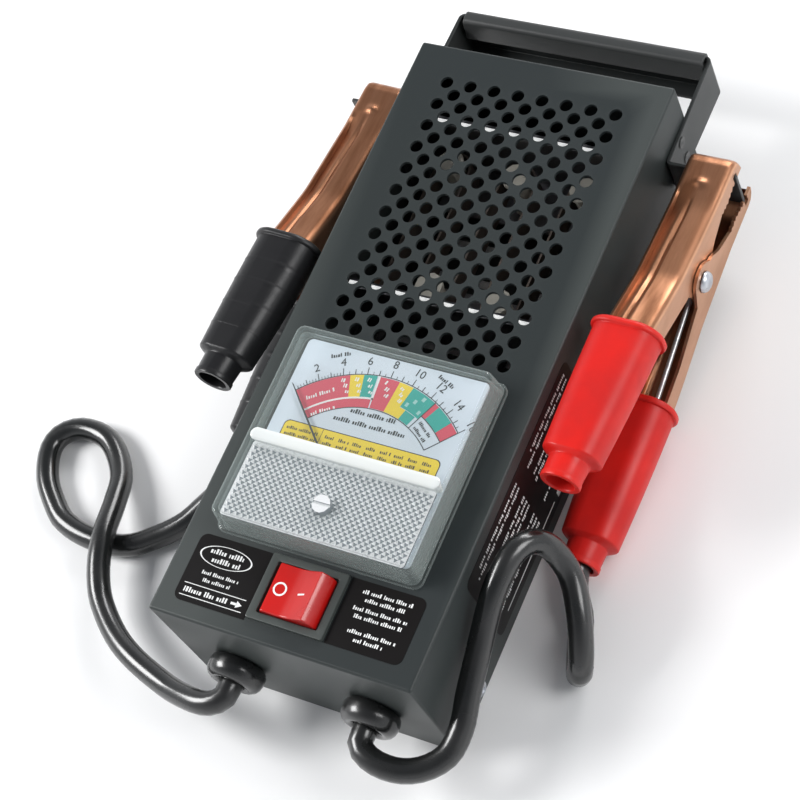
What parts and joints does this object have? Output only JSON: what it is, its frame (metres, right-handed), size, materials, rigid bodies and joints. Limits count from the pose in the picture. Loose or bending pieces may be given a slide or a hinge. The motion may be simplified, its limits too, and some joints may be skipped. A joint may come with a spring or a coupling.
{
  "type": "battery load tester",
  "caption": "Hand-held battery load tester: vented sheet-metal box with a clear-covered analogue meter, rocker switch, carrying bar, and two leads ending in spring clamps parked on side tabs.",
  "frame": {"origin": "centre of the box's flat rear face, which it rests on", "axes": "+Z out of the front face with the meter, +Y towards the carrying bar, +X to the right as the meter is read"},
  "size_m": [0.2522, 0.2948, 0.0721],
  "materials": {
    "panel_paint": "satin powder coat, charcoal grey-green",
    "handle_paint": "satin black paint",
    "label_print": "printed film",
    "black_plastic": "moulded, satin",
    "clear_plastic": "clear acrylic with a grey-green tint",
    "dial_card": "white printed dial plate",
    "red_rocker": "gloss moulded",
    "red_vinyl": "dipped vinyl, red",
    "black_vinyl": "dipped vinyl, black",
    "lead_rubber": "smooth jacket, black",
    "wire_red": "smooth jacket, red",
    "copper_plate": "bright copper plating",
    "zinc_plate": "bright zinc plating",
    "magnet_iron": "ground iron",
    "brass_sheet": "stamped sheet",
    "ribbon_metal": "dull resistance ribbon",
    "white_ceramic": "unglazed"
  },
  "bodies": {
    "root": {"front_housing": "panel_paint", "rear_cover": "panel_paint", "switch_body": "panel_paint", "handle": "handle_paint", "handle_rivet_1": "handle_paint", "handle_rivet_2": "handle_paint", "handle_rivet_3": "handle_paint", "handle_rivet_4": "handle_paint", "cover_screw_1": "zinc_plate", "cover_screw_2": "zinc_plate", "cover_screw_3": "zinc_plate", "cover_screw_4": "zinc_plate", "meter_stud_left": "zinc_plate", "meter_stud_right": "zinc_plate", "switch_terminal_left": "zinc_plate", "switch_terminal_right": "zinc_plate", "rail_near": "zinc_plate", "rail_far": "zinc_plate", "front_label_left": "label_print", "front_label_right": "label_print", "side_label": "label_print", "meter_cover": "clear_plastic", "meter_base": "black_plastic", "dial_plate": "dial_card", "magnet_yoke": "magnet_iron", "load_lug_left": "copper_plate", "load_lug_right": "copper_plate", "movement_bridge": "brass_sheet", "hairspring": "brass_sheet", "load_element": "ribbon_metal", "insulator_1": "white_ceramic", "insulator_2": "white_ceramic", "insulator_3": "white_ceramic", "insulator_4": "white_ceramic", "insulator_5": "white_ceramic", "inner_lead_negative": "lead_rubber", "meter_wire_left": "lead_rubber", "gland_left": "lead_rubber", "gland_right": "lead_rubber", "lead_negative": "lead_rubber", "lead_positive": "lead_rubber", "inner_lead_positive": "wire_red", "load_lead": "wire_red", "meter_wire_right": "wire_red", "negative_rear_jaw": "copper_plate", "negative_rivet": "zinc_plate", "negative_spring": "zinc_plate", "negative_rear_grip": "black_vinyl", "positive_rear_jaw": "copper_plate", "positive_rivet": "zinc_plate", "positive_spring": "zinc_plate", "positive_rear_grip": "red_vinyl"},
    "needle": {"needle": "black_plastic", "meter_coil": "copper_plate"},
    "rocker": {"rocker": "red_rocker"},
    "zero_screw": {"zero_screw": "black_plastic"},
    "clamp_negative": {"negative_front_jaw": "copper_plate", "negative_front_grip": "black_vinyl"},
    "clamp_positive": {"positive_front_jaw": "copper_plate", "positive_front_grip": "red_vinyl"}
  },
  "joints": [
    {"name": "needle_swing", "type": "hinge", "parent": "root", "child": "needle", "pos_m": [0, -0.065, 0.065], "axis": [0, 0, -1], "range_deg": [0, 90], "stiffness_Nm_per_rad": 0.0001, "deforming": ["hairspring"]},
    {"name": "load_rocker", "type": "hinge", "parent": "root", "child": "rocker", "pos_m": [0, -0.1028, 0.056], "axis": [0, 1, 0], "range_deg": [0, 22], "stiffness_Nm_per_rad": 0.15},
    {"name": "zero_adjust", "type": "hinge", "parent": "root", "child": "zero_screw", "pos_m": [0, -0.073, 0.071], "axis": [0, 0, 1], "range_deg": [-30, 30]},
    {"name": "clamp_negative_open", "type": "hinge", "parent": "root", "child": "clamp_negative", "pos_m": [-0.068, 0.0645, 0.03145], "axis": [0.9995, -0.0314, 0], "range_deg": [0, 16], "stiffness_Nm_per_rad": 1.5, "deforming": ["negative_spring"]},
    {"name": "clamp_positive_open", "type": "hinge", "parent": "root", "child": "clamp_positive", "pos_m": [0.071, 0.0615, 0.03145], "axis": [1, 0, 0], "range_deg": [0, 16], "stiffness_Nm_per_rad": 1.5, "deforming": ["positive_spring"]}
  ]
}
